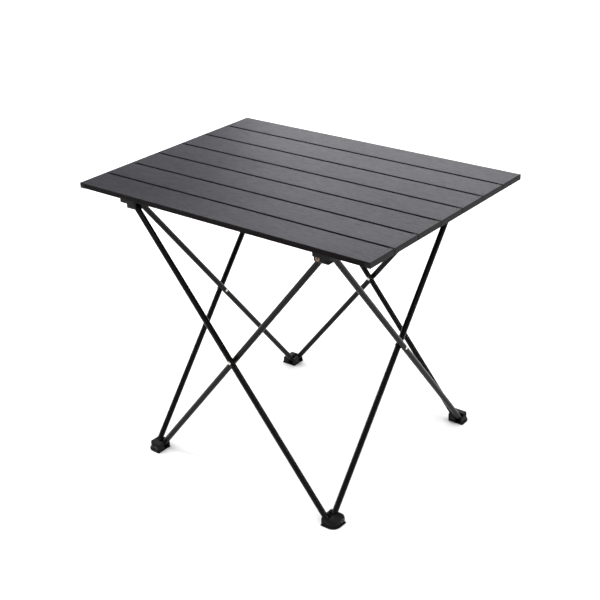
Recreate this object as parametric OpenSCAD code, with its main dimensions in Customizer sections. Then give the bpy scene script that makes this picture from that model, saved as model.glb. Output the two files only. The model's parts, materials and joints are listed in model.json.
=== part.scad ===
// Folding side table: a roll-up top of aluminium slats on a square frame of four folding leg crosses.
// Millimetres, +Z up. The origin is on the ground under the middle of the top. The slats run along X.
// Sides are counted anticlockwise from the front (-Y): 0 front, 1 right, 2 back, 3 left.
// Corners likewise: 0 front left, 1 front right, 2 back right, 3 back left.

/* [Tabletop] */
// Height of the top face above the ground
table_h = 468; // [380:1:600]
// Length of each slat, end caps included
slat_len = 560; // [460:1:700]
// Width of one slat
slat_w = 55; // [46:0.5:68]
// Gap between neighbouring slats
slat_gap = 4; // [2.5:0.1:5]
// Number of slats
slat_count = 7; // [5:1:7]
// Thickness of a slat
slat_t = 9; // [8:0.1:12]
// Wall of the slat extrusion
slat_wall = 1; // [0.8:0.1:1.5]
// Height of the lip along the top of a slat's sides
lip_h = 1.8; // [1.5:0.1:2.5]
// How far the lip stands out past the side wall
lip_out = 0.6; // [0.3:0.1:1]

/* [End caps] */
// Thickness of the plate that closes a slat's end
cap_plate = 1.5; // [1:0.1:3]
// Length of the ears that bridge the gap between slats
ear_len = 8; // [6:0.5:12]
// Width of an ear, from the slat's side inwards
ear_w = 7; // [5:0.5:8]
// How far the plug reaches into the slat, from the plate
plug_len = 13; // [10:0.5:20]
// Seam between neighbouring caps
cap_seam = 1; // [0.4:0.05:1.5]
// Diameter of the elastic cord that strings the slats together
cord_d = 3; // [2:0.1:3.5]

/* [Crimp marks] */
// Length of a crimp mark, along the slat's width
crimp_l = 2.6; // [1.5:0.1:4]
// Width of a crimp mark
crimp_w = 1.2; // [0.8:0.1:2]
// Depth of a crimp mark
crimp_deep = 0.4; // [0.2:0.05:0.6]
// Distance of a crimp mark from the slat's end
crimp_end = 6; // [4:0.5:10]
// Distance of a crimp mark from the slat's side
crimp_side = 5.5; // [4:0.5:9]

/* [Legs] */
// Outside diameter of a leg tube
tube_d = 9.5; // [8:0.1:12]
// Wall of a leg tube
tube_wall = 0.9; // [0.6:0.1:1.5]
// Rounding radius of a leg's end, beyond the tube's own radius
leg_end_over = 0.4; // [0.2:0.1:1]
// Space between the two legs of a cross
cross_gap = 0.9; // [0.7:0.1:2]
// Diameter of the rivet where two legs cross
cross_rivet_d = 3.2; // [2.5:0.1:4]
// Diameter of that rivet's head
cross_head_d = 5.6; // [4.5:0.1:8]

/* [Corner fittings] */
// Thickness of a fitting's outer wall beside a leg
cheek = 2.8; // [2.4:0.1:4]
// Thickness of a fitting's side that faces the middle of the table
inner_cheek = 3.8; // [2.4:0.1:6]
// Thickness of the wall between the two leg slots
inner_wall = 1.7; // [1.4:0.1:3]
// Thickness of the flange that the fitting bears on
flange_t = 2.2; // [2:0.1:4]
// Step from the flange's edge to the fitting's body
flange_step = 0.8; // [0.4:0.1:1.5]
// How far a foot's flange spreads past a hub's
foot_spread = 1.4; // [0.5:0.1:2]
// Body below the pivots
below_pivot = 7.5; // [6.5:0.1:10]
// Rounding of a fitting's outer corner
corner_r = 12; // [6:0.5:13]
// Diameter of the leg pivot pins
pin_d = 5; // [4:0.1:5.5]
// Bore of the tubular pins
pin_bore = 3; // [2:0.1:3.2]

/* [Corner seats] */
// Inset of a seat's outer face from the top's long edge
edge_inset = 2.8; // [1:0.1:7]
// How far the frame stands to the right of the top's middle
frame_shift = 8; // [0:1:12]
// Thickness of a seat's plate
seat_plate = 2; // [2:0.1:4]
// Thickness of a seat's outer walls
seat_wall = 2; // [1.5:0.1:3]
// How far the seat's walls reach down beside the hub
seat_down = 4.5; // [3:0.1:7]
// Diameter of a seat rivet's shank
seat_rivet_d = 3; // [2.5:0.1:4]

/* [Fits] */
// Clearance between a leg and the walls beside it
leg_clear = 0.25; // [0.2:0.05:0.5]
// Radial running clearance of a pivot
pivot_clear = 0.05; // [0.03:0.01:0.1]
// Radial clearance of the pivots that close the frame's loops
loop_clear = 0.3; // [0.2:0.05:0.5]
// Space between a hub and its seat
seat_clear = 0.3; // [0.2:0.05:0.6]
// Space between a cap's plug and the slat around it
plug_clear = 0.05; // [0.02:0.01:0.2]
// Radial clearance around the elastic cord
cord_clear = 0.2; // [0.1:0.05:0.5]

/* [Hidden] */
$fn = 48;
// Cuts reach this far past a face
eps = 1;
pitch = slat_w + slat_gap;
top_depth = slat_count * pitch - slat_gap;
slat_bottom = table_h - slat_t;
tube_r = tube_d / 2;
bore_r = tube_r - tube_wall;
leg_end_r = tube_r + leg_end_over;

// Frame: places are distances from the middle of the frame
seat_out = top_depth / 2 - edge_inset;
fitting_out = seat_out - seat_wall - seat_clear;
fitting_w = cheek + 2 * tube_d + cross_gap + 2 * leg_clear + inner_cheek;
fitting_in = fitting_out - fitting_w;
outer_plane = fitting_out - cheek - leg_clear - tube_r;
inner_plane = outer_plane - tube_d - cross_gap;
pivot_span = outer_plane - tube_r - leg_end_r - inner_wall - 2 * leg_clear;
pivot_drop = flange_t + leg_clear + leg_end_r;
fitting_h = pivot_drop + below_pivot;
hub_top = slat_bottom - seat_plate - seat_clear;
hub_pivot_z = hub_top - pivot_drop;
foot_pivot_z = pivot_drop;
cross_z = (hub_pivot_z + foot_pivot_z) / 2;
lean = atan2(2 * pivot_span, hub_pivot_z - foot_pivot_z);
leg_len = norm([2 * pivot_span, hub_pivot_z - foot_pivot_z]);
body_out = fitting_out - flange_step;
toe_flat = 1;
toe_round = below_pivot - flange_step - toe_flat;
slot_end = pivot_span + leg_end_r + leg_clear;
slot_half = tube_r + leg_clear;

// Slat section
side_y = slat_w / 2 - lip_out;
lip_round = 0.7;
foot_round = 1;
web_y = slat_w / 6;
cavity_h = slat_t - 2 * slat_wall;
side_cell = side_y - web_y - 1.5 * slat_wall;
ear_in = slat_w / 2 - ear_w;
ear_top = slat_t - lip_h;
seam_reach = (pitch - cap_seam) / 2;
edge_reach = slat_w / 2;
cap_chamfer = 0.5;
cord_x = slat_len / 2 - cap_plate - ear_len / 2;
cord_z = ear_top / 2;
knot_d = 5;
knot_y = web_y / 2;

// Rivets and pins
head_t = 1.1;
washer_play = 0.2;
washer_t = cross_gap - washer_play;
washer_over = 0.5;
washer_d = cross_head_d + 2 * washer_over;
pin_head_over = 1.2;
pin_head_d = pin_d + 2 * pin_head_over;
pin_head_t = 0.6;
pin_skin = 0.9;
seat_head_d = 2 * seat_rivet_d;
seat_upset_over = 1;
seat_upset_d = seat_rivet_d + 2 * seat_upset_over;
seat_rivet_in = 5.5;
seat_grip = 1;

CORNERS = ["front_left", "front_right", "back_right", "back_left"];
SIDES = ["front", "right", "back", "left"];

// Rectangle with rounded corners, from its lower left to its upper right corner
module round_rect(low, high, r) {
    translate([low[0] + r, low[1]])
        square([high[0] - low[0] - 2 * r, high[1] - low[1]]);
    translate([low[0], low[1] + r])
        square([high[0] - low[0], high[1] - low[1] - 2 * r]);
    for (x = [low[0] + r, high[0] - r], y = [low[1] + r, high[1] - r])
        translate([x, y]) circle(r);
}

// A box given by its lowest and highest corners
module block(low, high) {
    translate(low) cube(high - low);
}

// Turns a shape made for the front left corner or the front side to corner or side k of the frame
module turned(k) {
    translate([frame_shift, 0, 0]) rotate([0, 0, 90 * k]) children();
}

// Middle of slat i in Y, the front slat being number 1
function slat_y(i) = (i - (slat_count + 1) / 2) * pitch;

// ---- Tabletop ----

// Section of a slat in Y and Z, with its underside at zero
module slat_section() {
    difference() {
        union() {
            round_rect([-side_y, 0], [side_y, slat_t], foot_round);
            round_rect([-slat_w / 2, slat_t - lip_h], [slat_w / 2, slat_t], lip_round);
        }
        for (side = [0, 1]) mirror([side, 0])
            translate([web_y + slat_wall / 2, slat_wall]) square([side_cell, cavity_h]);
        translate([-web_y + slat_wall / 2, slat_wall]) square([2 * web_y - slat_wall, cavity_h]);
    }
}

// Pressed marks near both ends, which hold the end caps; the top's outer edges have none
module crimp_marks(i) {
    for (end = [-1, 1], side = [-1, 1])
        if (!(i == 1 && side == -1) && !(i == slat_count && side == 1))
            translate([end * (slat_len / 2 - crimp_end), side * (slat_w / 2 - crimp_side), slat_t])
                block([-crimp_w / 2, -crimp_l / 2, -crimp_deep], [crimp_w / 2, crimp_l / 2, eps]);
}

// Aluminium extrusion of slat i, notched at its ends for the cap's ears
module slat(i) {
    half = slat_len / 2 - cap_plate;
    color("#6c6b72") translate([0, slat_y(i), slat_bottom]) difference() {
        rotate([90, 0, 90]) translate([0, 0, -half]) linear_extrude(2 * half) slat_section();
        for (end = [-1, 1], side = [-1, 1])
            translate([end * half, side * slat_w / 2, 0])
                block([-ear_len, -ear_w, -eps], [ear_len, ear_w, ear_top]);
        for (end = [-1, 1])
            translate([end * cord_x, 0, cord_z])
                rotate([90, 0, 0]) cylinder(h = 2 * ear_in, r = cord_d / 2 + cord_clear, center = true);
        crimp_marks(i);
        if (i == 1 || i == slat_count) translate([0, -slat_y(i), 0]) seat_rivet_holes();
    }
}

// Holes for the seat rivets in the undersides of the first and last slats, at the height of a slat
module seat_rivet_holes() {
    for (k = [0:3]) turned(k) for (at = seat_rivet_at)
        translate([at[0], at[1], -eps]) cylinder(h = slat_wall + 2 * eps, d = seat_rivet_d);
}

// Half of an end cap towards +Y; an open half reaches to the seam and lets the cord through
module cap_half(open) {
    reach = open ? seam_reach : edge_reach;
    inner = slat_len / 2 - cap_plate;
    ear_start = inner - ear_len + plug_clear;
    join = inner + cap_plate / 2;
    cord_end = open ? seam_reach + eps : edge_reach - ear_w / 2;
    difference() {
        union() {
            translate([0, reach, 0]) rotate([90, 0, 0]) linear_extrude(reach) cap_section();
            block([ear_start, ear_in + plug_clear, 0], [join, reach, ear_top - plug_clear]);
            if (open) block([ear_start, edge_reach + plug_clear, 0], [join, reach, slat_t]);
            block([inner - plug_len, web_y + slat_wall, slat_wall + plug_clear],
                [join, ear_in + plug_clear, slat_t - slat_wall - plug_clear]);
        }
        translate([cord_x, cord_end, cord_z]) rotate([90, 0, 0])
            cylinder(h = seam_reach, r = cord_d / 2 + cord_clear);
    }
}

// Section of an end cap's plate in X and Z, chamfered along its outer face
module cap_section() {
    face = slat_len / 2;
    polygon([[face - cap_plate, 0], [face - cap_chamfer, 0], [face, cap_chamfer],
        [face, slat_t - cap_chamfer], [face - cap_chamfer, slat_t], [face - cap_plate, slat_t]]);
}

// One end cap in its slat's frame at the +X end
module end_cap(open_front, open_back) {
    cap_half(open_back);
    mirror([0, 1, 0]) cap_half(open_front);
}

// The pair of moulded caps that close slat i
module end_caps(i) {
    color("#26252a") translate([0, slat_y(i), slat_bottom]) {
        end_cap(i > 1, i < slat_count);
        mirror([1, 0, 0]) end_cap(i > 1, i < slat_count);
    }
}

// The two lengths of elastic cord inside slat i; it ends in a knot in the first and last slat
module shock_cord(i) {
    front_end = i == 1 ? -knot_y : -seam_reach;
    back_end = i == slat_count ? knot_y : seam_reach;
    color("#1b1b1d") translate([0, slat_y(i), slat_bottom + cord_z])
        for (end = [-1, 1]) translate([end * cord_x, 0, 0]) {
            translate([0, back_end, 0]) rotate([90, 0, 0]) cylinder(h = back_end - front_end, d = cord_d);
            if (i == 1) translate([0, -knot_y, 0]) sphere(d = knot_d);
            if (i == slat_count) translate([0, knot_y, 0]) sphere(d = knot_d);
        }
}

// ---- Corner seats under the first and last slats ----

// Places of a seat's two rivets, across the corner from each other
seat_rivet_at = [
    [-seat_out + seat_wall + seat_rivet_in, -fitting_in - seat_rivet_in],
    [-fitting_in - seat_rivet_in, -seat_out + seat_wall + seat_rivet_in]
];

// Moulded plate at corner k with walls outside the hub only, so the hub can slide inwards and drop out
module seat(k) {
    plate_low = slat_bottom - seat_plate;
    wall_low = hub_top - seat_down;
    color("#1d1c1f") turned(k) difference() {
        union() {
            block([-seat_out, -seat_out, plate_low], [-fitting_in, -fitting_in, slat_bottom]);
            block([-seat_out, -seat_out, wall_low], [-seat_out + seat_wall, -fitting_in, plate_low + eps]);
            block([-seat_out, -seat_out, wall_low], [-fitting_in, -seat_out + seat_wall, plate_low + eps]);
        }
        for (at = seat_rivet_at) translate([at[0], at[1], 0])
            translate([0, 0, plate_low - eps]) cylinder(h = seat_plate + 2 * eps, d = seat_rivet_d);
        for (at = seat_rivet_at) translate([at[0], at[1], plate_low - eps])
            cylinder(h = eps + seat_grip, d = seat_head_d);
    }
}

// Rivets that hold the two seats between corners a and b to their slat
module seat_rivets(a, b) {
    plate_low = slat_bottom - seat_plate;
    color("#b9b6ae") for (k = [a, b]) turned(k) for (at = seat_rivet_at)
        translate([at[0], at[1], plate_low]) {
            cylinder(h = seat_grip, d = seat_head_d);
            cylinder(h = seat_plate + slat_wall, d = seat_rivet_d);
            translate([0, 0, seat_plate + slat_wall]) cylinder(h = seat_grip, d = seat_upset_d);
        }
}

// ---- Corner fittings: hubs and feet are the same moulding, the foot being a hub turned over ----

// Outline of a fitting's body in plan, round at its outer corner
module fitting_plan(outer, r) {
    difference() {
        translate([-outer, -outer]) square(outer - fitting_in);
        translate([-outer - eps, -outer - eps]) square(r + eps);
    }
    translate([-outer + r, -outer + r]) circle(r);
}

// Side view of a fitting's body, rounded where it ends below the outer wall
module fitting_side() {
    translate([-body_out, -fitting_h + toe_round])
        square([body_out - fitting_in, fitting_h - toe_round]);
    translate([-body_out + toe_round, -fitting_h])
        square([body_out - fitting_in - toe_round, fitting_h]);
    translate([-body_out + toe_round, -fitting_h + toe_round]) circle(toe_round);
}

// The fitting at the front left, its bearing face at zero and its legs leaving downwards
module fitting(spread) {
    flange_out = fitting_out + spread;
    flange_r = corner_r + flange_out - body_out;
    difference() {
        union() {
            translate([0, 0, -flange_t]) linear_extrude(flange_t) fitting_plan(flange_out, flange_r);
            intersection() {
                translate([0, 0, -fitting_h]) linear_extrude(fitting_h) fitting_plan(body_out, corner_r);
                translate([0, -fitting_in, 0]) rotate([90, 0, 0])
                    linear_extrude(fitting_w) fitting_side();
                translate([-fitting_in, 0, 0]) rotate([90, 0, -90])
                    linear_extrude(fitting_w) mirror([1, 0, 0]) fitting_side();
            }
        }
        // Slot of the leg in the outer plane, which runs along X
        block([-slot_end, -outer_plane - slot_half, -fitting_h - eps],
            [-fitting_in + eps, -outer_plane + slot_half, -flange_t]);
        // Slot of the leg in the inner plane, which runs along Y
        block([-inner_plane - slot_half, -slot_end, -fitting_h - eps],
            [-inner_plane + slot_half, -fitting_in + eps, -flange_t]);
        // Blind seat of the short pin
        translate([-pivot_span, -body_out + pin_skin, -pivot_drop]) rotate([-90, 0, 0])
            cylinder(h = body_out - pin_skin - slot_end, d = pin_d);
        // Through seat of the long pin
        translate([-body_out - eps, -pivot_span, -pivot_drop]) rotate([0, 90, 0])
            cylinder(h = fitting_w + 2 * eps, d = pin_d);
    }
}

// The fitting's two pins: a short blind one along Y and a long tubular one along X
module fitting_pins() {
    translate([-pivot_span, -body_out + pin_skin, -pivot_drop]) rotate([-90, 0, 0])
        cylinder(h = body_out - pin_skin - slot_end, d = pin_d);
    translate([-body_out - pin_head_t, -pivot_span, -pivot_drop]) rotate([0, 90, 0]) difference() {
        union() {
            cylinder(h = pin_head_t, d = pin_head_d);
            cylinder(h = body_out - fitting_in + pin_head_t, d = pin_d);
        }
        translate([0, 0, -eps]) cylinder(h = fitting_w + 2 * eps, d = pin_bore);
    }
}

// Places a hub-shaped child at corner k under the top
module at_hub(k) {
    turned(k) translate([0, 0, hub_top]) children();
}

// Places a hub-shaped child at corner k on the ground, turned over about the corner's diagonal
module at_foot(k) {
    turned(k) rotate(a = 180, v = [1, 1, 0]) children();
}

module hub(k) {
    color("#1a191b") at_hub(k) fitting(0);
}

module hub_pins(k) {
    color("#c2b59a") at_hub(k) fitting_pins();
}

module foot(k) {
    color("#1a191b") at_foot(k) fitting(foot_spread);
}

module foot_pins(k) {
    color("#3a3838") at_foot(k) fitting_pins();
}

// ---- Legs ----

// Upright leg tube about its middle, with round-cut ends and cross bores along Y
module leg_tube(top_clear, bottom_clear, cross_bore_r) {
    difference() {
        intersection() {
            cylinder(h = leg_len + 2 * tube_d, r = tube_r, center = true);
            rotate([90, 0, 0]) linear_extrude(2 * tube_d, center = true) {
                square([2 * leg_end_r, leg_len], center = true);
                for (end = [-1, 1]) translate([0, end * leg_len / 2]) circle(leg_end_r);
            }
        }
        cylinder(h = leg_len + 2 * tube_d, r = bore_r, center = true);
        translate([0, 0, leg_len / 2]) rotate([90, 0, 0])
            cylinder(h = 2 * tube_d, r = pin_d / 2 + top_clear, center = true);
        translate([0, 0, -leg_len / 2]) rotate([90, 0, 0])
            cylinder(h = 2 * tube_d, r = pin_d / 2 + bottom_clear, center = true);
        rotate([90, 0, 0]) cylinder(h = 2 * tube_d, r = cross_bore_r, center = true);
    }
}

// Leg in the outer plane of side k, from the hub at its left end to the foot at its right end
module leg_outer(k) {
    top_clear = k == 1 || k == 2 ? loop_clear : pivot_clear;
    bottom_clear = k == 3 ? loop_clear : pivot_clear;
    cross_r = cross_rivet_d / 2 + (k == 0 || k == 2 ? 0 : pivot_clear);
    color("#17171a") turned(k) translate([0, -outer_plane, cross_z]) rotate([0, -lean, 0])
        leg_tube(top_clear, bottom_clear, cross_r);
}

// Leg in the inner plane of side k, from the hub at its right end to the foot at its left end
module leg_inner(k) {
    top_clear = k == 2 ? loop_clear : pivot_clear;
    bottom_clear = k == 2 ? loop_clear : pivot_clear;
    cross_r = cross_rivet_d / 2 + (k == 0 || k == 2 ? pivot_clear : 0);
    color("#17171a") turned(k) translate([0, -inner_plane, cross_z]) rotate([0, lean, 0])
        leg_tube(top_clear, bottom_clear, cross_r);
}

// Domed head of a cross rivet, on the plane z = 0
module dome_head() {
    dome_r = (head_t * head_t + cross_head_d * cross_head_d / 4) / (2 * head_t);
    intersection() {
        translate([0, 0, head_t - dome_r]) sphere(dome_r);
        cylinder(h = head_t + eps, d = cross_head_d);
    }
}

// Rivet through the crossing of side k; its shank fills the leg that carries it
module cross_rivet(k) {
    gap_keeper = k == 0 || k == 2 ? 0 : 1;
    outer_face = outer_plane + tube_r + gap_keeper * seat_clear;
    inner_face = inner_plane - tube_r - (1 - gap_keeper) * seat_clear;
    color("#c9c2b4") turned(k) translate([0, 0, cross_z]) {
        translate([0, -outer_face, 0]) rotate([90, 0, 0]) dome_head();
        translate([0, -inner_face, 0]) rotate([-90, 0, 0]) dome_head();
        translate([0, -inner_face, 0]) rotate([90, 0, 0])
            cylinder(h = outer_face - inner_face, d = cross_rivet_d);
    }
}

// Washer between the two legs of side k, against the leg that carries the rivet
module cross_washer(k) {
    carrier_face = k == 0 || k == 2 ? outer_plane - tube_r : inner_plane + tube_r + washer_t;
    color("#2a2a2c") turned(k) translate([0, -carrier_face, cross_z]) rotate([-90, 0, 0]) difference() {
        cylinder(h = washer_t, d = washer_d);
        translate([0, 0, -eps]) cylinder(h = washer_t + 2 * eps, d = cross_rivet_d);
    }
}

for (i = [1:slat_count]) {
    slat(i);
    end_caps(i);
    shock_cord(i);
}
for (k = [0:3]) {
    seat(k);
    hub(k);
    hub_pins(k);
    foot(k);
    foot_pins(k);
    leg_outer(k);
    leg_inner(k);
    cross_rivet(k);
    cross_washer(k);
}
seat_rivets(0, 1);  // seat_rivets_front
seat_rivets(2, 3);  // seat_rivets_back
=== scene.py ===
"""Looks of the folding side table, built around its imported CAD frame.

Everything is in metres in the CAD frame: +Z up, the slats along X, the front at -Y.
"""

import json
import logging
import math
from dataclasses import dataclass, field
from enum import Enum
from typing import Any, Iterable

import bmesh
import bpy
from mathutils import Matrix, Vector

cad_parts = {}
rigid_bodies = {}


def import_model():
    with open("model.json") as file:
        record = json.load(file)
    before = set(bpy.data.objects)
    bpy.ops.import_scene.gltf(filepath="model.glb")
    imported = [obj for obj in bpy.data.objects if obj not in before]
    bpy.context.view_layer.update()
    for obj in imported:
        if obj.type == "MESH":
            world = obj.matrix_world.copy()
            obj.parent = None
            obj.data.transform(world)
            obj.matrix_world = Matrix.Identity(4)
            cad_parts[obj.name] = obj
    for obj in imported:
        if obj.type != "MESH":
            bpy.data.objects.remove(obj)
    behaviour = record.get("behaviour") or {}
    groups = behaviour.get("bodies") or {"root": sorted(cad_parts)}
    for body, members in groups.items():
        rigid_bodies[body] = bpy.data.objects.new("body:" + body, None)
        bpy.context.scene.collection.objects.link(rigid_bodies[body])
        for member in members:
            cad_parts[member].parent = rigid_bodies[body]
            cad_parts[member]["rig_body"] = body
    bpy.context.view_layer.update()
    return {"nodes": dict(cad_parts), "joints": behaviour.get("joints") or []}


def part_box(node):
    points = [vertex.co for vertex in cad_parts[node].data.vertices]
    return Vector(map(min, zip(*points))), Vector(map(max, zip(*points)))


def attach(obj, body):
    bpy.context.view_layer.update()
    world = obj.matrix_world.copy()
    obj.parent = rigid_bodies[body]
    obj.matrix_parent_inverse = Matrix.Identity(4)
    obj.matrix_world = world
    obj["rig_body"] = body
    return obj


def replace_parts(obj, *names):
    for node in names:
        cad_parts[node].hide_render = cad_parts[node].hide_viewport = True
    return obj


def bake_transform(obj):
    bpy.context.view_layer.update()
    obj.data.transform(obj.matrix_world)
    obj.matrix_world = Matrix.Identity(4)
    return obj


LOG = logging.getLogger("folding_side_table")
MM = 0.001
WELD = 0.001 * MM
SIDES = ("front", "right", "back", "left")
CORNERS = ("front_left", "front_right", "back_right", "back_left")


class Slot(Enum):
    """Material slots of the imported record."""

    SLAT = "slat"
    END_CAP = "end_cap"
    CORD = "elastic_cord"
    MOULDING = "moulding"
    LEG_TUBE = "leg_tube"
    HUB_PIN = "hub_pin"
    FOOT_PIN = "foot_pin"
    RIVET = "rivet"
    WASHER = "washer"


class Solver(Enum):
    """Boolean operations of a Mesh Boolean node."""

    UNION = "UNION"
    CUT = "DIFFERENCE"
    COMMON = "INTERSECT"


# ---------------------------------------------------------------- shader graphs


class ShaderGraph:
    """One material's node tree, with short calls to add nodes and links."""

    def __init__(self, name: str) -> None:
        """Starts an empty node material.

        Args:
            name: name of the material.
        """
        self.material = bpy.data.materials.new(name)
        self.material.use_nodes = True
        self.tree = self.material.node_tree
        self.tree.nodes.clear()
        self.shader = self.node("ShaderNodeBsdfPrincipled")
        out = self.node("ShaderNodeOutputMaterial")
        self.tree.links.new(self.shader.outputs["BSDF"], out.inputs["Surface"])

    def node(self, kind: str, **settings: Any) -> bpy.types.Node:
        """Adds a node.

        Args:
            kind: Blender's node type.
            settings: properties to set on the node.

        Returns:
            The new node.
        """
        made = self.tree.nodes.new(kind)
        for key, value in settings.items():
            setattr(made, key, value)
        return made

    def link(self, source: bpy.types.NodeSocket, target: bpy.types.NodeSocket) -> None:
        """Joins an output socket to an input socket."""
        self.tree.links.new(source, target)

    def set(self, **values: Any) -> None:
        """Sets uniform values on the shader's own sockets; underscores in a name stand for spaces."""
        for key, value in values.items():
            self.shader.inputs[key.replace("_", " ")].default_value = value

    def coords(self, stretch: tuple[float, float, float]) -> bpy.types.NodeSocket:
        """Object coordinates, scaled along each axis.

        Args:
            stretch: features per metre along X, Y and Z.

        Returns:
            The scaled vector socket.
        """
        place = self.node("ShaderNodeTexCoord")
        mapping = self.node("ShaderNodeMapping")
        mapping.inputs["Scale"].default_value = stretch
        self.link(place.outputs["Object"], mapping.inputs["Vector"])
        return mapping.outputs["Vector"]

    def noise(
        self, vector: bpy.types.NodeSocket, scale: float = 1.0, detail: float = 2.0, rough: float = 0.5
    ) -> bpy.types.NodeSocket:
        """Adds a noise texture.

        Args:
            vector: where to sample it.
            scale: features per unit of the vector.
            detail: number of finer layers.
            rough: strength of the finer layers.

        Returns:
            The noise value, about 0.3 to 0.7.
        """
        made = self.node("ShaderNodeTexNoise")
        made.inputs["Scale"].default_value = scale
        made.inputs["Detail"].default_value = detail
        made.inputs["Roughness"].default_value = rough
        self.link(vector, made.inputs["Vector"])
        return made.outputs["Fac"]

    def remap(
        self, value: bpy.types.NodeSocket, source: tuple[float, float], target: tuple[float, float]
    ) -> bpy.types.NodeSocket:
        """Maps a range of values onto another, clamped.

        Args:
            value: the input.
            source: the range it comes in.
            target: the range it leaves in.

        Returns:
            The mapped value.
        """
        made = self.node("ShaderNodeMapRange")
        made.inputs["From Min"].default_value, made.inputs["From Max"].default_value = source
        made.inputs["To Min"].default_value, made.inputs["To Max"].default_value = target
        self.link(value, made.inputs["Value"])
        return made.outputs["Result"]

    def math(
        self, how: str, a: bpy.types.NodeSocket, b: bpy.types.NodeSocket | float = 0.0
    ) -> bpy.types.NodeSocket:
        """Adds a math node.

        Args:
            how: the operation.
            a: first value.
            b: second value, a socket or a number.

        Returns:
            The result.
        """
        made = self.node("ShaderNodeMath", operation=how)
        self.link(a, made.inputs[0])
        if isinstance(b, (int, float)):
            made.inputs[1].default_value = b
        else:
            self.link(b, made.inputs[1])
        return made.outputs["Value"]

    def mix(
        self,
        share: bpy.types.NodeSocket,
        low: tuple[float, float, float] | bpy.types.NodeSocket,
        high: tuple[float, float, float] | bpy.types.NodeSocket,
    ) -> bpy.types.NodeSocket:
        """Mixes two colours.

        Args:
            share: how much of the second colour to use.
            low: colour at 0.
            high: colour at 1.

        Returns:
            The mixed colour.
        """
        made = self.node("ShaderNodeMix", data_type="RGBA")
        self.link(share, made.inputs["Factor"])
        for value, socket in ((low, made.inputs[6]), (high, made.inputs[7])):
            if isinstance(value, tuple):
                socket.default_value = (*value, 1.0)
            else:
                self.link(value, socket)
        return made.outputs[2]

    def bump(self, height: bpy.types.NodeSocket, depth: float, strength: float = 1.0) -> None:
        """Drives the shader's normal from a height.

        Args:
            height: 0 to 1.
            depth: metres from lowest to highest.
            strength: share of the effect.
        """
        made = self.node("ShaderNodeBump")
        made.inputs["Distance"].default_value = depth
        made.inputs["Strength"].default_value = strength
        self.link(height, made.inputs["Height"])
        self.link(made.outputs["Normal"], self.shader.inputs["Normal"])


@dataclass(frozen=True)
class SlatPaint:
    """Satin grey coat of the slats: a fine lengthwise grain with pale specks, painted shade that makes the
    sides and rounded edges darker and browner than the top face, and a painted highlight along the ends.
    """

    top_z: float
    half_length: float
    top: tuple[float, float, float] = (0.0066, 0.0062, 0.0104)
    # painted shade: the sides and rounded top edges take this darker, browner colour, which also darkens the
    # gaps between the slats
    side: tuple[float, float, float] = (0.0042, 0.0031, 0.0027)
    # pale tone of the random specks and haze on the top face, and of the painted highlight along the slat
    # ends
    speck_and_end_highlight_tone: tuple[float, float, float] = (0.1, 0.1, 0.115)
    tint: tuple[float, float, float] = (0.9, 0.87, 1.0)
    side_gloss: float = 0.04
    top_gloss: float = 0.2
    # face_edge: depths below the top face over which the colour turns from the painted shade of the sides to
    # the top's own colour
    face_edge: tuple[float, float] = (0.3 * MM, 0.04 * MM)
    # end_band: distances in from each end where the painted highlight starts and where it is full
    end_band: tuple[float, float] = (2.2 * MM, 1.5 * MM)

    def build(self) -> bpy.types.Material:
        """Returns the material."""
        g = ShaderGraph("slat_paint")
        grain = g.noise(g.coords((60.0, 1500.0, 1500.0)), 1.0, 3.0, 0.6)
        stroke = g.noise(g.coords((75.0, 520.0, 520.0)), 1.0, 3.0, 0.6)
        speckle = g.noise(g.coords((1800.0, 1800.0, 1800.0)), 1.0, 2.0, 0.5)
        cloud = g.noise(g.coords((4.0, 9.0, 9.0)), 1.0, 3.0, 0.5)
        place = g.node("ShaderNodeTexCoord")
        split = g.node("ShaderNodeSeparateXYZ")
        g.link(place.outputs["Object"], split.inputs["Vector"])
        edge_from, edge_to = (self.top_z - depth for depth in self.face_edge)
        # on_top is 1 on the flat top face and 0 on the sides and rounded edges, which take the painted shade
        on_top = g.remap(split.outputs["Z"], (edge_from, edge_to), (0.0, 1.0))
        reach = g.math("ABSOLUTE", split.outputs["X"])
        band_from, band_to = (self.half_length - inset for inset in self.end_band)
        at_end = g.remap(reach, (band_from, band_to), (0.0, 1.0))
        # painted highlight: a pale band along each end of the slat, broken up by the grain
        painted_end_highlight = g.math("MULTIPLY", at_end, g.remap(grain, (0.42, 0.62), (0.15, 0.8)))
        # painted shade: the sides and rounded edges darker and browner than the top
        base = g.mix(on_top, self.side, self.top)
        darker = tuple(0.82 * c for c in self.top)
        grained = g.mix(g.remap(grain, (0.3, 0.7), (0.0, 0.55)), base, g.mix(on_top, self.side, darker))
        haze = g.math("MULTIPLY", on_top, g.remap(cloud, (0.35, 0.65), (0.0, 0.1)))
        clouded = g.mix(haze, grained, self.speck_and_end_highlight_tone)
        top_share = g.remap(on_top, (0.0, 1.0), (0.15, 1.0))
        fleck = g.math("MULTIPLY", top_share, g.remap(speckle, (0.6, 0.72), (0.0, 0.22)))
        spotted = g.mix(fleck, clouded, self.speck_and_end_highlight_tone)
        g.link(g.mix(painted_end_highlight, spotted, self.speck_and_end_highlight_tone), g.shader.inputs["Base Color"])
        g.link(g.remap(grain, (0.3, 0.7), (0.32, 0.46)), g.shader.inputs["Roughness"])
        gloss = g.remap(on_top, (0.0, 1.0), (self.side_gloss, self.top_gloss))
        sheen = g.math("MULTIPLY", g.remap(stroke, (0.36, 0.56), (0.55, 1.0)), gloss)
        g.link(sheen, g.shader.inputs["Specular IOR Level"])
        g.set(Specular_Tint=(*self.tint, 1.0))
        height = g.math("ADD", g.math("MULTIPLY", grain, 0.6), g.math("MULTIPLY", speckle, 0.4))
        g.bump(height, 0.05 * MM, 0.6)
        return g.material


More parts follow.
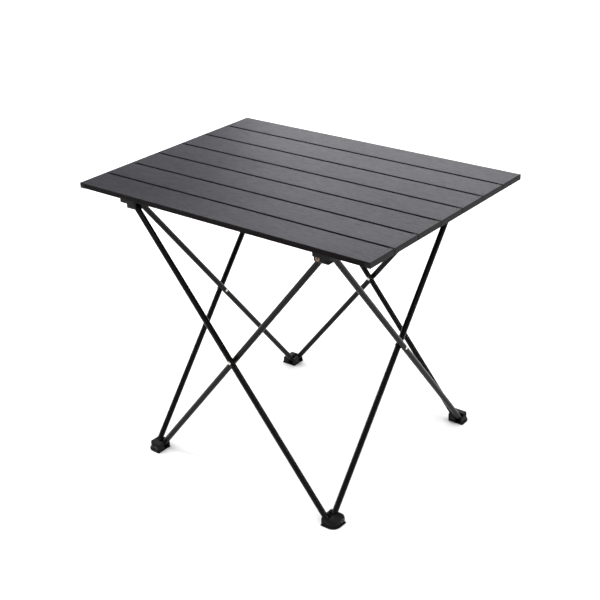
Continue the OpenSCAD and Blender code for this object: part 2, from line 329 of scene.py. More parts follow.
@dataclass(frozen=True)
class GlossTube:
    """Gloss black coat of the leg tubes, with a slight orange peel and a few scuffed specks."""

    colour: tuple[float, float, float] = (0.0034, 0.0027, 0.0025)
    dust: tuple[float, float, float] = (0.009, 0.0078, 0.0072)

    def build(self) -> bpy.types.Material:
        """Returns the material."""
        g = ShaderGraph("gloss_tube")
        peel = g.noise(g.coords((420.0, 420.0, 420.0)), 1.0, 2.0, 0.5)
        scuff = g.noise(g.coords((90.0, 90.0, 90.0)), 1.0, 5.0, 0.65)
        share = g.remap(scuff, (0.52, 0.72), (0.0, 0.5))
        g.link(g.mix(share, self.colour, self.dust), g.shader.inputs["Base Color"])
        g.link(g.remap(scuff, (0.35, 0.7), (0.2, 0.36)), g.shader.inputs["Roughness"])
        g.set(Coat_Weight=0.15, Coat_Roughness=0.06, Specular_IOR_Level=0.04)
        g.bump(peel, 0.04 * MM, 0.5)
        return g.material


@dataclass(frozen=True)
class MouldedNylon:
    """Fine-textured black nylon of the mouldings."""

    name: str
    colour: tuple[float, float, float]
    pale: tuple[float, float, float]
    rough: tuple[float, float] = (0.42, 0.6)
    grit: float = 1500.0

    def build(self) -> bpy.types.Material:
        """Returns the material."""
        g = ShaderGraph(self.name)
        grit = g.noise(g.coords((self.grit,) * 3), 1.0, 3.0, 0.6)
        flow = g.noise(g.coords((70.0, 70.0, 160.0)), 1.0, 3.0, 0.55)
        spots = g.remap(grit, (0.56, 0.74), (0.0, 0.5))
        tone = g.mix(g.remap(flow, (0.35, 0.65), (0.0, 0.45)), self.colour, self.pale)
        g.link(g.mix(spots, tone, self.pale), g.shader.inputs["Base Color"])
        g.link(g.remap(flow, (0.3, 0.7), self.rough), g.shader.inputs["Roughness"])
        g.set(Specular_IOR_Level=0.08)
        g.bump(grit, 0.08 * MM, 0.55)
        return g.material


@dataclass(frozen=True)
class PlainMetal:
    """Bare or blackened metal of the pins and rivets, with turning marks and dulled patches."""

    name: str
    bright: tuple[float, float, float]
    dull: tuple[float, float, float]
    rough: tuple[float, float] = (0.24, 0.42)

    def build(self) -> bpy.types.Material:
        """Returns the material."""
        g = ShaderGraph(self.name)
        fine = g.noise(g.coords((2600.0, 2600.0, 2600.0)), 1.0, 3.0, 0.6)
        patch = g.noise(g.coords((500.0, 500.0, 500.0)), 1.0, 4.0, 0.6)
        dulled = g.remap(patch, (0.4, 0.7), (0.0, 0.8))
        g.link(g.mix(dulled, self.bright, self.dull), g.shader.inputs["Base Color"])
        g.link(g.remap(fine, (0.3, 0.7), self.rough), g.shader.inputs["Roughness"])
        g.set(Metallic=1.0)
        g.bump(fine, 0.02 * MM, 0.5)
        return g.material


@dataclass(frozen=True)
class BraidedSleeve:
    """Braided sleeve of the elastic cord: two sets of strands that wind opposite ways."""

    strands: float = 8.0
    lay: float = 260.0
    thread: tuple[float, float, float] = (0.03, 0.03, 0.033)
    shade: tuple[float, float, float] = (0.004, 0.004, 0.0045)

    def build(self) -> bpy.types.Material:
        """Returns the material."""
        g = ShaderGraph("braided_sleeve")
        around = g.node("ShaderNodeAttribute", attribute_name="sleeve_turn").outputs["Fac"]
        along = g.node("ShaderNodeAttribute", attribute_name="sleeve_run").outputs["Fac"]
        turn = g.math("MULTIPLY", around, self.strands)
        run = g.math("MULTIPLY", along, self.lay)
        waves = []
        for how in ("ADD", "SUBTRACT"):
            phase = g.math("MULTIPLY", g.math(how, turn, run), math.tau)
            waves.append(g.math("SINE", phase))
        weave = g.remap(g.math("MAXIMUM", waves[0], waves[1]), (-0.6, 1.0), (0.0, 1.0))
        g.link(g.mix(weave, self.shade, self.thread), g.shader.inputs["Base Color"])
        g.set(Roughness=0.8, Sheen_Weight=0.3, Sheen_Roughness=0.5)
        g.bump(weave, 0.12 * MM, 0.8)
        return g.material


class FinishShop:
    """Makes each finish once and puts it on pieces and CAD nodes."""

    def __init__(self, top_z: float, half_length: float) -> None:
        """Builds every finish of the table.

        Args:
            top_z: height of the top face.
            half_length: half the slats' length.
        """
        self.finishes: dict[Slot, bpy.types.Material] = {
            Slot.SLAT: SlatPaint(top_z, half_length).build(),
            Slot.END_CAP: MouldedNylon("cap_nylon", (0.007, 0.006, 0.0066), (0.026, 0.023, 0.025)).build(),
            Slot.CORD: BraidedSleeve().build(),
            Slot.MOULDING: MouldedNylon(
                "fitting_nylon", (0.0035, 0.0031, 0.0034), (0.012, 0.011, 0.0115), (0.34, 0.52), 1300.0
            ).build(),
            Slot.LEG_TUBE: GlossTube().build(),
            Slot.HUB_PIN: PlainMetal("pin_brass", (0.22, 0.16, 0.115), (0.09, 0.066, 0.05)).build(),
            Slot.FOOT_PIN: PlainMetal("pin_black", (0.05, 0.048, 0.047), (0.02, 0.019, 0.019)).build(),
            Slot.RIVET: PlainMetal("rivet_steel", (0.72, 0.69, 0.63), (0.46, 0.43, 0.39)).build(),
            Slot.WASHER: MouldedNylon("washer_nylon", (0.012, 0.012, 0.013), (0.03, 0.03, 0.03)).build(),
        }

    def dress(self, piece: bpy.types.Object, slot: Slot) -> bpy.types.Object:
        """Gives a piece its only material, the finish of the given slot.

        Args:
            piece: object to dress.
            slot: which finish it takes.

        Returns:
            The same object.
        """
        piece.data.materials.clear()
        piece.data.materials.append(self.finishes[slot])
        return piece

    def dress_node(self, node: bpy.types.Object, slot: Slot) -> None:
        """Puts a finish on a carried-over CAD node's own material slots."""
        if not node.material_slots:
            node.data.materials.append(self.finishes[slot])
        for place in node.material_slots:
            place.material = self.finishes[slot]


# ---------------------------------------------------------------- geometry graphs


class ShapeGraph:
    """One Geometry Nodes tree with named inputs, ending in Realize Instances and Set Material."""

    def __init__(self, name: str) -> None:
        """Starts an empty tree.

        Args:
            name: name of the node group.
        """
        self.tree = bpy.data.node_groups.new(name, "GeometryNodeTree")
        self.tree.interface.new_socket("Geometry", in_out="OUTPUT", socket_type="NodeSocketGeometry")
        self.source = self.tree.nodes.new("NodeGroupInput")
        self.out = self.tree.nodes.new("NodeGroupOutput")
        self.ids: dict[str, str] = {}

    def input(self, name: str, kind: str = "Float") -> bpy.types.NodeSocket:
        """Adds a named input.

        Args:
            name: what the input is called.
            kind: Float, Vector, Bool or Material.

        Returns:
            The socket that gives its value inside the tree.
        """
        item = self.tree.interface.new_socket(name, in_out="INPUT", socket_type=f"NodeSocket{kind}")
        self.ids[name] = item.identifier
        return self.source.outputs[name]

    def node(self, kind: str, settings: dict[str, Any] | None = None, **links: Any) -> bpy.types.Node:
        """Adds a node and fills its inputs.

        Args:
            kind: Blender's node type, without the GeometryNode prefix unless it has another.
            settings: properties of the node.
            links: input names, with underscores for spaces, and a socket, list of sockets or value each.

        Returns:
            The new node.
        """
        full = kind if kind.startswith(("ShaderNode", "FunctionNode")) else "GeometryNode" + kind
        made = self.tree.nodes.new(full)
        for key, value in (settings or {}).items():
            setattr(made, key, value)
        for key, value in links.items():
            self.fill(made.inputs[key.replace("_", " ")], value)
        return made

    def fill(self, socket: bpy.types.NodeSocket, value: Any) -> None:
        """Links sockets to an input, or sets its value."""
        if isinstance(value, bpy.types.NodeSocket):
            self.tree.links.new(value, socket)
        elif isinstance(value, list):
            for one in value:
                self.tree.links.new(one, socket)
        else:
            socket.default_value = value

    def calc(self, how: str, a: Any, b: Any = 0.0) -> bpy.types.NodeSocket:
        """Adds a math node over two sockets or numbers and returns its value."""
        made = self.tree.nodes.new("ShaderNodeMath")
        made.operation = how
        self.fill(made.inputs[0], a)
        self.fill(made.inputs[1], b)
        return made.outputs["Value"]

    def vector(self, x: Any = 0.0, y: Any = 0.0, z: Any = 0.0) -> bpy.types.NodeSocket:
        """Joins three sockets or numbers into a vector."""
        made = self.node("ShaderNodeCombineXYZ", X=x, Y=y, Z=z)
        return made.outputs["Vector"]

    def moved(
        self, mesh: bpy.types.NodeSocket, place: Any = (0, 0, 0), turn: Any = (0, 0, 0)
    ) -> bpy.types.NodeSocket:
        """Moves and turns geometry; turn is in radians about X, Y and Z."""
        made = self.node("Transform", Geometry=mesh, Translation=place, Rotation=turn)
        return made.outputs["Geometry"]

    def boolean(self, how: Solver, first: Any, others: list[bpy.types.NodeSocket]) -> bpy.types.NodeSocket:
        """Combines solids exactly.

        Args:
            how: which boolean operation.
            first: the solid that is cut, for a cut.
            others: the other solids.

        Returns:
            The combined mesh.
        """
        made = self.tree.nodes.new("GeometryNodeMeshBoolean")
        made.operation = how.value
        made.solver = "EXACT"
        if how is Solver.CUT:
            self.fill(made.inputs["Mesh 1"], first)
            self.fill(made.inputs["Mesh 2"], others)
        else:
            self.fill(made.inputs["Mesh 2"], [first, *others])
        return made.outputs["Mesh"]

    def prism(self, curve: bpy.types.NodeSocket, length: Any) -> bpy.types.NodeSocket:
        """A closed solid: a flat closed curve raised along Z.

        Args:
            curve: closed curve in the XY plane.
            length: how far it is raised.

        Returns:
            The solid, from z = 0 to the length.
        """
        face = self.node("FillCurve", Curve=curve)
        face.mode = "NGONS"
        raised = self.node("ExtrudeMesh", Mesh=face.outputs["Mesh"], Offset_Scale=length)
        raised.inputs["Individual"].default_value = False
        base = self.node("FlipFaces", Mesh=face.outputs["Mesh"])
        joined = self.node("JoinGeometry", Geometry=[raised.outputs["Mesh"], base.outputs["Mesh"]])
        merged = self.node("MergeByDistance", Geometry=joined.outputs["Geometry"], Distance=WELD)
        return merged.outputs["Geometry"]

    def rounded_bar(self, length: Any, width: Any, height: Any, radius: Any) -> bpy.types.NodeSocket:
        """A bar along X with a rounded rectangular section, centred on the origin."""
        outline = self.node("CurvePrimitiveQuadrilateral", Width=width, Height=height)
        soft = self.node("FilletCurve", Curve=outline.outputs["Curve"], Radius=radius)
        if "Mode" in soft.inputs:
            soft.inputs["Mode"].default_value = "Poly"
        else:
            soft.mode = "POLY"
        soft.inputs["Count"].default_value = 4
        bar = self.prism(soft.outputs["Curve"], length)
        back = self.calc("MULTIPLY", length, -0.5)
        quarter = math.pi / 2
        return self.moved(self.moved(bar, self.vector(z=back)), turn=(quarter, 0.0, quarter))

    def rod(self, radius: Any, depth: Any, sides: int, turn: tuple[float, float, float] = (0, 0, 0)) -> Any:
        """A closed cylinder about the origin, along Z unless it is turned."""
        made = self.node("MeshCylinder", Vertices=sides, Radius=radius, Depth=depth)
        return self.moved(made.outputs["Mesh"], turn=turn)

    def finish(self, geometry: bpy.types.NodeSocket, material: bpy.types.NodeSocket) -> None:
        """Ends the tree in Realize Instances and Set Material."""
        real = self.node("RealizeInstances", Geometry=geometry)
        painted = self.node("SetMaterial", Geometry=real.outputs["Geometry"], Material=material)
        self.tree.links.new(painted.outputs["Geometry"], self.out.inputs["Geometry"])

    def make(self, name: str, **values: Any) -> bpy.types.Object:
        """Runs the tree once and returns its result as a plain mesh object.

        Args:
            name: name of the new object.
            values: inputs by name, with underscores for spaces.

        Returns:
            An object at the origin with no modifier.
        """
        holder = bpy.data.objects.new(name + ".graph", bpy.data.meshes.new(name + ".graph"))
        bpy.context.scene.collection.objects.link(holder)
        modifier = holder.modifiers.new("shape", "NODES")
        modifier.node_group = self.tree
        for key, value in values.items():
            modifier[self.ids[key.replace("_", " ")]] = value
        graph = bpy.context.evaluated_depsgraph_get()
        mesh = bpy.data.meshes.new_from_object(
            holder.evaluated_get(graph), preserve_all_data_layers=True, depsgraph=graph
        )
        bpy.data.objects.remove(holder)
        mesh.name = name
        piece = bpy.data.objects.new(name, mesh)
        bpy.context.scene.collection.objects.link(piece)
        return piece


def slat_graph() -> ShapeGraph:
    """Tree of one slat: two rounded bars joined, notched for the cap's ears and dimpled by the crimps.

    Returns:
        The tree. Its underside is at z = 0 before it is placed.
    """
    g = ShapeGraph("slat_extrusion")
    length, width, height = g.input("Length"), g.input("Width"), g.input("Height")
    lip_height, lip_out, rounding = g.input("Lip Height"), g.input("Lip Out"), g.input("Rounding")
    ear_length, ear_width = g.input("Ear Length"), g.input("Ear Width")
    crimp_size = g.input("Crimp Size", "Vector")
    crimp_end, crimp_side = g.input("Crimp End"), g.input("Crimp Side")
    front, back = g.input("Front Marks", "Bool"), g.input("Back Marks", "Bool")
    place, finish = g.input("Place", "Vector"), g.input("Finish", "Material")
    half = g.calc("MULTIPLY", height, 0.5)
    web = g.rounded_bar(length, g.calc("SUBTRACT", width, g.calc("MULTIPLY", lip_out, 2.0)), height, rounding)
    cap = g.rounded_bar(length, width, lip_height, rounding)
    cap_z = g.calc("SUBTRACT", height, g.calc("MULTIPLY", lip_height, 0.5))
    section = g.boolean(
        Solver.UNION, g.moved(web, g.vector(z=half)), [g.moved(cap, g.vector(z=cap_z))]
    )
    # Notches at the four corners, under the lip
    corners = g.node("MeshGrid", Size_X=length, Size_Y=width, Vertices_X=2, Vertices_Y=2)
    notch_height = g.calc("MULTIPLY", g.calc("SUBTRACT", height, lip_height), 2.0)
    notch = g.node(
        "MeshCube",
        Size=g.vector(g.calc("MULTIPLY", ear_length, 2.0), g.calc("MULTIPLY", ear_width, 2.0), notch_height),
    )
    notches = g.node("InstanceOnPoints", Points=corners.outputs["Mesh"], Instance=notch.outputs["Mesh"])
    # Crimp dimples: flattened balls sunk in the top face, left out along the top's outer edges
    marks_x = g.calc("SUBTRACT", length, g.calc("MULTIPLY", crimp_end, 2.0))
    marks_y = g.calc("SUBTRACT", width, g.calc("MULTIPLY", crimp_side, 2.0))
    spots = g.node("MeshGrid", Size_X=marks_x, Size_Y=marks_y, Vertices_X=2, Vertices_Y=2)
    ball = g.node("MeshUVSphere", Segments=20, Rings=12, Radius=0.5)
    dimple = g.node("Transform", Geometry=ball.outputs["Mesh"], Scale=crimp_size)
    where = g.node("ShaderNodeSeparateXYZ", Vector=g.node("InputPosition").outputs["Position"])
    at_front = g.calc("LESS_THAN", where.outputs["Y"], 0.0)
    chosen = g.calc(
        "ADD",
        g.calc("MULTIPLY", at_front, front),
        g.calc("MULTIPLY", g.calc("SUBTRACT", 1.0, at_front), back),
    )
    dimples = g.node(
        "InstanceOnPoints",
        Points=spots.outputs["Mesh"],
        Instance=dimple.outputs["Geometry"],
        Selection=chosen,
    )
    marks = g.moved(dimples.outputs["Instances"], g.vector(z=height))
    cutters = [
        g.node("RealizeInstances", Geometry=shapes).outputs["Geometry"]
        for shapes in (notches.outputs["Instances"], marks)
    ]
    g.finish(g.moved(g.boolean(Solver.CUT, section, cutters), place), finish)
    return g


def leg_graph() -> ShapeGraph:
    """Tree of one leg: a tube whose ends are cut round about the pivots, with its three cross bores.

    Returns:
        The tree. The tube leans in the XZ plane, is turned about Z and is then moved to its place.
    """
    g = ShapeGraph("leg_tube")
    length, radius, bore = g.input("Length"), g.input("Radius"), g.input("Bore")
    end, pin, rivet = g.input("End Radius"), g.input("Pin Radius"), g.input("Rivet Radius")
    lean, turn = g.input("Lean"), g.input("Turn")
    place, finish = g.input("Place", "Vector"), g.input("Finish", "Material")
    half = g.calc("MULTIPLY", length, 0.5)
    minus = g.calc("MULTIPLY", length, -0.5)
    across = g.calc("MULTIPLY", radius, 4.0)
    long = g.calc("ADD", length, across)
    quarter = math.pi / 2
    tube = g.rod(radius, long, 64)
    width = g.calc("MULTIPLY", end, 2.0)
    block = g.node("MeshCube", Size=g.vector(width, across, length)).outputs["Mesh"]
    disc = g.rod(end, across, 48, (quarter, 0.0, 0.0))
    blank = g.boolean(
        Solver.UNION, block, [g.moved(disc, g.vector(z=half)), g.moved(disc, g.vector(z=minus))]
    )
    shaped = g.boolean(Solver.COMMON, tube, [blank])
    hole = g.rod(pin, across, 32, (quarter, 0.0, 0.0))
    cuts = [
        g.rod(bore, g.calc("MULTIPLY", long, 1.1), 48),
        g.moved(hole, g.vector(z=half)),
        g.moved(hole, g.vector(z=minus)),
        g.rod(rivet, across, 32, (quarter, 0.0, 0.0)),
    ]
    drilled = g.boolean(Solver.CUT, shaped, cuts)
    leaning = g.moved(drilled, turn=g.vector(y=lean))
    g.finish(g.moved(leaning, place, g.vector(z=turn)), finish)
    return g


def cord_graph() -> ShapeGraph:
    """Tree of a straight length of elastic cord, with attributes for its braid.

    Returns:
        The tree.
    """
    g = ShapeGraph("elastic_cord")
    start, end = g.input("Start", "Vector"), g.input("End", "Vector")
    radius, rings = g.input("Radius"), g.input("Rings", "Int")
    finish = g.input("Finish", "Material")
    line = g.node("CurvePrimitiveLine", Start=start, End=end)
    fine = g.node("ResampleCurve", Curve=line.outputs["Curve"], Count=rings)
    run = g.node("SplineParameter")
    with_run = g.node(
        "StoreNamedAttribute", {"data_type": "FLOAT", "domain": "POINT"}, Geometry=fine.outputs["Curve"],
        Name="sleeve_run", Value=run.outputs["Length"],
    )
    circle = g.node("CurvePrimitiveCircle", Resolution=24, Radius=radius)
    around = g.node("SplineParameter")
    with_turn = g.node(
        "StoreNamedAttribute", {"data_type": "FLOAT", "domain": "POINT"}, Geometry=circle.outputs["Curve"],
        Name="sleeve_turn", Value=around.outputs["Factor"],
    )
    tube = g.node(
        "CurveToMesh",
        Curve=with_run.outputs["Geometry"],
        Profile_Curve=with_turn.outputs["Geometry"],
        Fill_Caps=True,
    )
    g.finish(tube.outputs["Mesh"], finish)
    return g


# ---------------------------------------------------------------- mesh helpers


def smooth_by_angle(piece: bpy.types.Object, angle_deg: float = 35.0) -> bpy.types.Object:
    """Shades a piece smooth with sharp edges past an angle, its flat faces kept flat.

    Args:
        piece: mesh object.
        angle_deg: edges sharper than this stay sharp.

    Returns:
        The same object, with a Weighted Normal modifier.
    """
    piece.data.shade_smooth()
    piece.data.set_sharp_from_angle(angle=math.radians(angle_deg))
    normals = piece.modifiers.new("flat_faces", "WEIGHTED_NORMAL")
    normals.keep_sharp = True
    normals.weight = 80
    return piece


def softened_copy(node: bpy.types.Object, name: str, width: float) -> bpy.types.Object:
    """A copy of a CAD node with its edges rounded as a moulding's are.

    Args:
        node: CAD node to copy.
        name: name of the new piece.
        width: width of the rounding.

    Returns:
        The new mesh object, closed and unlinked from the node's own mesh.
    """
    graph = bmesh.new()
    graph.from_mesh(node.data)
    bmesh.ops.remove_doubles(graph, verts=graph.verts, dist=2e-6)
    bmesh.ops.dissolve_limit(
        graph,
        angle_limit=math.radians(0.5),
        verts=graph.verts,
        edges=graph.edges,
        use_dissolve_boundaries=False,
    )
    mesh = bpy.data.meshes.new(name)
    graph.to_mesh(mesh)
    graph.free()
    piece = bpy.data.objects.new(name, mesh)
    bpy.context.scene.collection.objects.link(piece)
    bevel = piece.modifiers.new("edge_rounding", "BEVEL")
    bevel.width = width
    bevel.segments = 2
    bevel.limit_method = "ANGLE"
    bevel.angle_limit = math.radians(40.0)
    bevel.use_clamp_overlap = False
    bevel.miter_outer = "MITER_ARC"
    evaluated = bpy.context.evaluated_depsgraph_get()
    rounded = bpy.data.meshes.new_from_object(piece.evaluated_get(evaluated), depsgraph=evaluated)
    piece.modifiers.clear()
    piece.data = rounded
    rounded.name = name
    return smooth_by_angle(piece)


def middle(box: tuple[Vector, Vector]) -> Vector:
    """Centre of a box given by its two corners."""
    return (box[0] + box[1]) / 2


# ---------------------------------------------------------------- sub-assemblies


@dataclass
class RollTop:
    """The roll-up top: seven slats, their end caps and the elastic cord that strings them together."""

    shop: FinishShop
    nodes: dict[str, bpy.types.Object]
    count: int
    lip_height: float = 1.8 * MM
    lip_out: float = 0.6 * MM
    rounding: float = 0.85 * MM
    ear_length: float = 8.0 * MM
    ear_width: float = 7.0 * MM
    crimp_size: tuple[float, float, float] = (1.3 * MM, 2.7 * MM, 1.0 * MM)
    crimp_end: float = 4.5 * MM
    crimp_side: float = 5.5 * MM
    cap_rounding: float = 0.3 * MM
    bridge: float = 5.0 * MM
    pieces: list[bpy.types.Object] = field(default_factory=list)

    def build(self) -> list[bpy.types.Object]:
        """Builds every piece of the top.

        Returns:
            The new pieces.
        """
        slats = slat_graph()
        cords = cord_graph()
        for number in range(1, self.count + 1):
            self.pieces.append(self.slat(slats, number))
            self.pieces.append(self.caps(number))
            self.pieces += self.cords(cords, number)
        for number in range(1, self.count):
            self.pieces += self.bridges(cords, number)
        return self.pieces

    def slat(self, graph: ShapeGraph, number: int) -> bpy.types.Object:
        """Builds one slat over its CAD node and puts it on its body."""
        low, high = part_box(f"slat_{number}")
        size = high - low
        piece = graph.make(
            f"slat_extrusion_{number}",
            Length=size.x,
            Width=size.y,
            Height=size.z,
            Lip_Height=self.lip_height,
            Lip_Out=self.lip_out,
            Rounding=self.rounding,
            Ear_Length=self.ear_length,
            Ear_Width=self.ear_width,
            Crimp_Size=self.crimp_size,
            Crimp_End=self.crimp_end,
            Crimp_Side=self.crimp_side,
            Front_Marks=number > 1,
            Back_Marks=number < self.count,
            Place=((low.x + high.x) / 2, (low.y + high.y) / 2, low.z),
            Finish=self.shop.finishes[Slot.SLAT],
        )
        smooth_by_angle(piece)
        self.shop.dress(piece, Slot.SLAT)
        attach(piece, f"top_slat_{number}")
        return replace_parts(piece, f"slat_{number}")

    def caps(self, number: int) -> bpy.types.Object:
        """Rounds the edges of one slat's pair of end caps."""
        node = f"end_caps_{number}"
        piece = softened_copy(self.nodes[node], f"cap_pair_{number}", self.cap_rounding)
        self.shop.dress(piece, Slot.END_CAP)
        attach(piece, f"top_slat_{number}")
        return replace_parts(piece, node)

    def cords(self, graph: ShapeGraph, number: int) -> list[bpy.types.Object]:
        """Builds the two lengths of cord in one slat; the first and last keep the CAD's, with the knots."""
        node = f"shock_cord_{number}"
        if number in (1, self.count):
            self.shop.dress_node(self.nodes[node], Slot.CORD)
            return []
        low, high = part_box(node)
        made = []
        radius = self.cord_radius()
        for side, x in (("left", low.x), ("right", high.x)):
            centre = self.cord_x() * (1 if x > 0 else -1)
            piece = graph.make(
                f"cord_{side}_{number}",
                Start=(centre, low.y, self.cord_z()),
                End=(centre, high.y, self.cord_z()),
                Radius=radius,
                Rings=24,
                Finish=self.shop.finishes[Slot.CORD],
            )
            piece.data.shade_smooth()
            self.shop.dress(piece, Slot.CORD)
            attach(piece, f"top_slat_{number}")
            made.append(piece)
        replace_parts(made[0], node)
        return made

    def bridges(self, graph: ShapeGraph, number: int) -> list[bpy.types.Object]:
        """Builds the short stretches of cord that cross the seam after one slat."""
        seam = (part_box(f"end_caps_{number}")[1].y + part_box(f"end_caps_{number + 1}")[0].y) / 2
        made = []
        for side, sign in (("left", -1), ("right", 1)):
            x, z = sign * self.cord_x(), self.cord_z()
            piece = graph.make(
                f"cord_bridge_{side}_{number}",
                Start=(x, seam - self.bridge, z),
                End=(x, seam + self.bridge, z),
                Radius=self.cord_radius() * 0.98,
                Rings=21,
                Finish=self.shop.finishes[Slot.CORD],
            )
            piece.data.shade_smooth()
            self.shop.dress(piece, Slot.CORD)
            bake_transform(piece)
            made.append(piece)
        return made

    def cord_radius(self) -> float:
        """Radius of the cord, from a middle length of it."""
        low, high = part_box("shock_cord_2")
        return (high.z - low.z) / 2

    def cord_x(self) -> float:
        """Distance of each cord from the middle of the top."""
        low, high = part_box("shock_cord_2")
        return (high.x - low.x) / 2 - self.cord_radius()

    def cord_z(self) -> float:
        """Height of the cords."""
        return middle(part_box("shock_cord_2")).z


@dataclass
class CrossFrame:
    """The folding frame: eight leg tubes in four crosses, with their rivets and washers."""

    shop: FinishShop
    nodes: dict[str, bpy.types.Object]
    joints: list[dict[str, Any]]
    wall: float = 0.9 * MM
    end_over: float = 0.4 * MM
    pin_radius: float = 2.55 * MM
    rivet_radius: float = 1.65 * MM
    pieces: list[bpy.types.Object] = field(default_factory=list)

    def build(self) -> list[bpy.types.Object]:
        """Builds the legs and dresses the rivets and washers.

        Returns:
            The new pieces.
        """
        graph = leg_graph()
        for turn, side in enumerate(SIDES):
            for layer, sign in (("outer", -1), ("inner", 1)):
                self.pieces.append(self.leg(graph, side, layer, turn, sign))
            self.shop.dress_node(self.nodes[f"cross_rivet_{side}"], Slot.RIVET)
            self.shop.dress_node(self.nodes[f"cross_washer_{side}"], Slot.WASHER)
        return self.pieces

    def leg(self, graph: ShapeGraph, side: str, layer: str, turn: int, sign: int) -> bpy.types.Object:
        """Builds one leg between its two pivots.

        Args:
            graph: the leg tree.
            side: side of the table.
            layer: outer or inner.
            turn: quarter turns from the front.
            sign: -1 where the leg's top is at the left, 1 at the right.

        Returns:
            The new piece, riding on the leg's body.
        """
        node = f"leg_{side}_{layer}"
        low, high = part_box(node)
        size = high - low
        radius = min(size.x, size.y) / 2
        span, rise = self.pivots()
        piece = graph.make(
            f"tube_{side}_{layer}",
            Length=math.hypot(span, rise),
            Radius=radius,
            Bore=radius - self.wall,
            End_Radius=radius + self.end_over,
            Pin_Radius=self.pin_radius,
            Rivet_Radius=self.rivet_radius,
            Lean=sign * math.atan2(span, rise),
            Turn=turn * math.pi / 2,
            Place=tuple(middle((low, high))),
            Finish=self.shop.finishes[Slot.LEG_TUBE],
        )
        smooth_by_angle(piece)
        self.shop.dress(piece, Slot.LEG_TUBE)
        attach(piece, node)
        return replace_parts(piece, node)

    def pivots(self) -> tuple[float, float]:
        """Distance between a leg's two pivots, across and up."""
        places = {j["name"]: Vector(j["pos_m"]) for j in self.joints if "pos_m" in j}
        reach = places["frame_fold"] - places["front_outer_foot_pivot"]
        return abs(reach.x), abs(reach.z)


@dataclass
class CornerFittings:
    """The mouldings at the corners: hubs and feet with their pins, and the seats that hold the hubs."""

    shop: FinishShop
    nodes: dict[str, bpy.types.Object]
    fitting_rounding: float = 0.45 * MM
    seat_rounding: float = 0.3 * MM
    pieces: list[bpy.types.Object] = field(default_factory=list)

    def build(self) -> list[bpy.types.Object]:
        """Rounds and dresses the mouldings, and dresses their pins and rivets.

        Returns:
            The new pieces.
        """
        for corner in CORNERS:
            for kind in ("hub", "foot"):
                body = f"{kind}_{corner}"
                self.moulding(body, body, self.fitting_rounding)
            seat_body = self.nodes[f"seat_{corner}"]["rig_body"]
            self.moulding(f"seat_{corner}", seat_body, self.seat_rounding)
            self.shop.dress_node(self.nodes[f"hub_pins_{corner}"], Slot.HUB_PIN)
            self.shop.dress_node(self.nodes[f"foot_pins_{corner}"], Slot.FOOT_PIN)
        for row in ("front", "back"):
            self.shop.dress_node(self.nodes[f"seat_rivets_{row}"], Slot.RIVET)
        return self.pieces

    def moulding(self, node: str, body: str, rounding: float) -> None:
        """Replaces one moulding by a copy with rounded edges."""
        piece = softened_copy(self.nodes[node], f"moulded_{node}", rounding)
        self.shop.dress(piece, Slot.MOULDING)
        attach(piece, body)
        self.pieces.append(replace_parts(piece, node))


# ---------------------------------------------------------------- studio


@dataclass(frozen=True)
class SoftBox:
    """A rectangular studio light that faces a point."""

    name: str
    place: tuple[float, float, float]
    target: tuple[float, float, float]
    size: tuple[float, float]
    power: float
    colour: tuple[float, float, float] = (1.0, 1.0, 1.0)

    def build(self) -> None:
        """Adds the light to the scene."""
        data = bpy.data.lights.new(self.name, "AREA")
        data.shape = "RECTANGLE"
        data.size, data.size_y = self.size
        data.energy = self.power
        data.color = self.colour
        lamp = bpy.data.objects.new(self.name, data)
        lamp.location = self.place
        aim = Vector(self.target) - Vector(self.place)
        lamp.rotation_euler = aim.to_track_quat("-Z", "Y").to_euler()
        bpy.context.scene.collection.objects.link(lamp)


@dataclass(frozen=True)
class StudioCamera:
    """The camera: its place, heading, tilt and roll, and its focal length on a 36 mm sensor."""

    place: tuple[float, float, float] = (1.0894, -1.3588, 1.0984)
    heading_deg: float = -38.871
    tilt_deg: float = -25.82
    roll_deg: float = -2.009
    lens_mm: float = 70.405

    def build(self) -> bpy.types.Object:
        """Adds the camera and makes it the scene's own.

        Returns:
            The camera object.
        """
        data = bpy.data.cameras.new("studio_camera")
        data.lens = self.lens_mm
        data.sensor_width = 36.0
        data.clip_end = 50.0
        camera = bpy.data.objects.new("studio_camera", data)
        bpy.context.scene.collection.objects.link(camera)
        heading, tilt, roll = (math.radians(a) for a in (self.heading_deg, self.tilt_deg, self.roll_deg))
        level = Vector((math.sin(heading), math.cos(heading), 0.0))
        ahead = level * math.cos(tilt) + Vector((0.0, 0.0, math.sin(tilt)))
        right = Vector((math.cos(heading), -math.sin(heading), 0.0))
        up = right.cross(ahead)
        rolled_right = right * math.cos(roll) + up * math.sin(roll)
        rolled_up = up * math.cos(roll) - right * math.sin(roll)
        axes = Matrix((rolled_right, rolled_up, -ahead)).transposed()
        camera.matrix_world = Matrix.Translation(self.place) @ axes.to_4x4()
        bpy.context.scene.camera = camera
        return camera


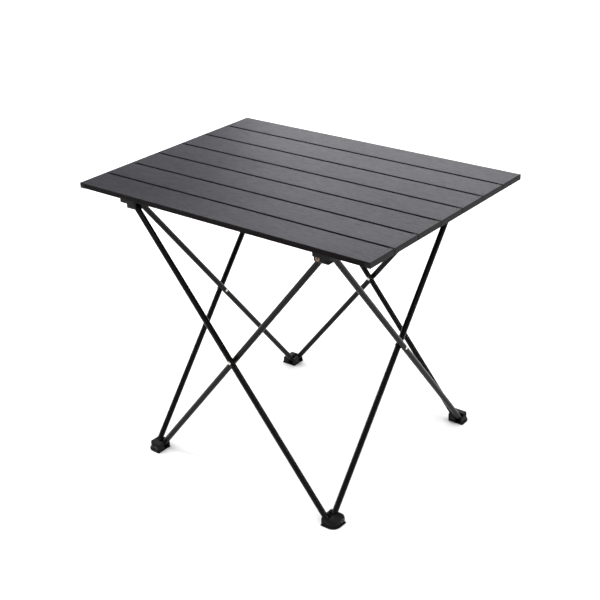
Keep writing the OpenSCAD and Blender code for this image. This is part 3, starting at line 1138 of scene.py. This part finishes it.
@dataclass(frozen=True)
class Studio:
    """A pale seamless floor, soft boxes and an even surround."""

    floor_half: float = 12.0
    floor_gap: float = 0.05 * MM
    floor_tone: float = 0.9
    surround: float = 0.4

    def build(self) -> None:
        """Adds the floor, the lights and the surround."""
        self.floor()
        world = bpy.data.worlds.new("pale_surround")
        world.use_nodes = True
        back = world.node_tree.nodes["Background"]
        back.inputs["Color"].default_value = (1.0, 1.0, 1.0, 1.0)
        back.inputs["Strength"].default_value = self.surround
        bpy.context.scene.world = world
        SoftBox("roof_box", (-0.6, 0.5, 4.2), (-0.6, 0.5, 0.0), (8.0, 8.0), 520.0).build()
        SoftBox("back_box", (-1.4, 2.7, 1.4), (0.0, 0.1, 0.47), (1.7, 0.5), 13.0).build()
        SoftBox("right_strip", (2.6, 0.6, 1.5), (0.0, 0.0, 0.25), (0.1, 1.6), 16.0).build()
        SoftBox("left_strip", (-2.6, -1.0, 1.3), (0.0, 0.0, 0.25), (0.12, 1.9), 26.0).build()
        bpy.context.scene.view_settings.view_transform = "Standard"

    def floor(self) -> None:
        """Adds the floor, just under the feet."""
        graph = bmesh.new()
        half = self.floor_half
        outline = ((-half, -half), (half, -half), (half, half), (-half, half))
        graph.faces.new([graph.verts.new((x, y, -self.floor_gap)) for x, y in outline])
        mesh = bpy.data.meshes.new("studio_floor")
        graph.to_mesh(mesh)
        graph.free()
        floor = bpy.data.objects.new("studio_floor", mesh)
        bpy.context.scene.collection.objects.link(floor)
        paper = ShaderGraph("floor_paper")
        paper.set(Base_Color=(self.floor_tone,) * 3 + (1.0,), Roughness=0.9, Specular_IOR_Level=0.1)
        mesh.materials.append(paper.material)


def main() -> None:
    """Builds the studio and every sub-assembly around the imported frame, in order."""
    logging.basicConfig(level=logging.INFO, format="%(name)s: %(message)s")
    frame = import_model()
    nodes = frame["nodes"]
    StudioCamera().build()
    Studio().build()
    low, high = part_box("slat_1")
    end_low, end_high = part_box("end_caps_1")
    shop = FinishShop(high.z, (end_high.x - end_low.x) / 2)
    count = sum(1 for name in nodes if name.startswith("slat_"))
    for assembly in (
        RollTop(shop, nodes, count),
        CrossFrame(shop, nodes, frame["joints"]),
        CornerFittings(shop, nodes),
    ):
        for piece in assembly.build():
            LOG.info("%s: %s with %d faces", type(assembly).__name__, piece.name, len(piece.data.polygons))


if __name__ == "__main__":
    main()
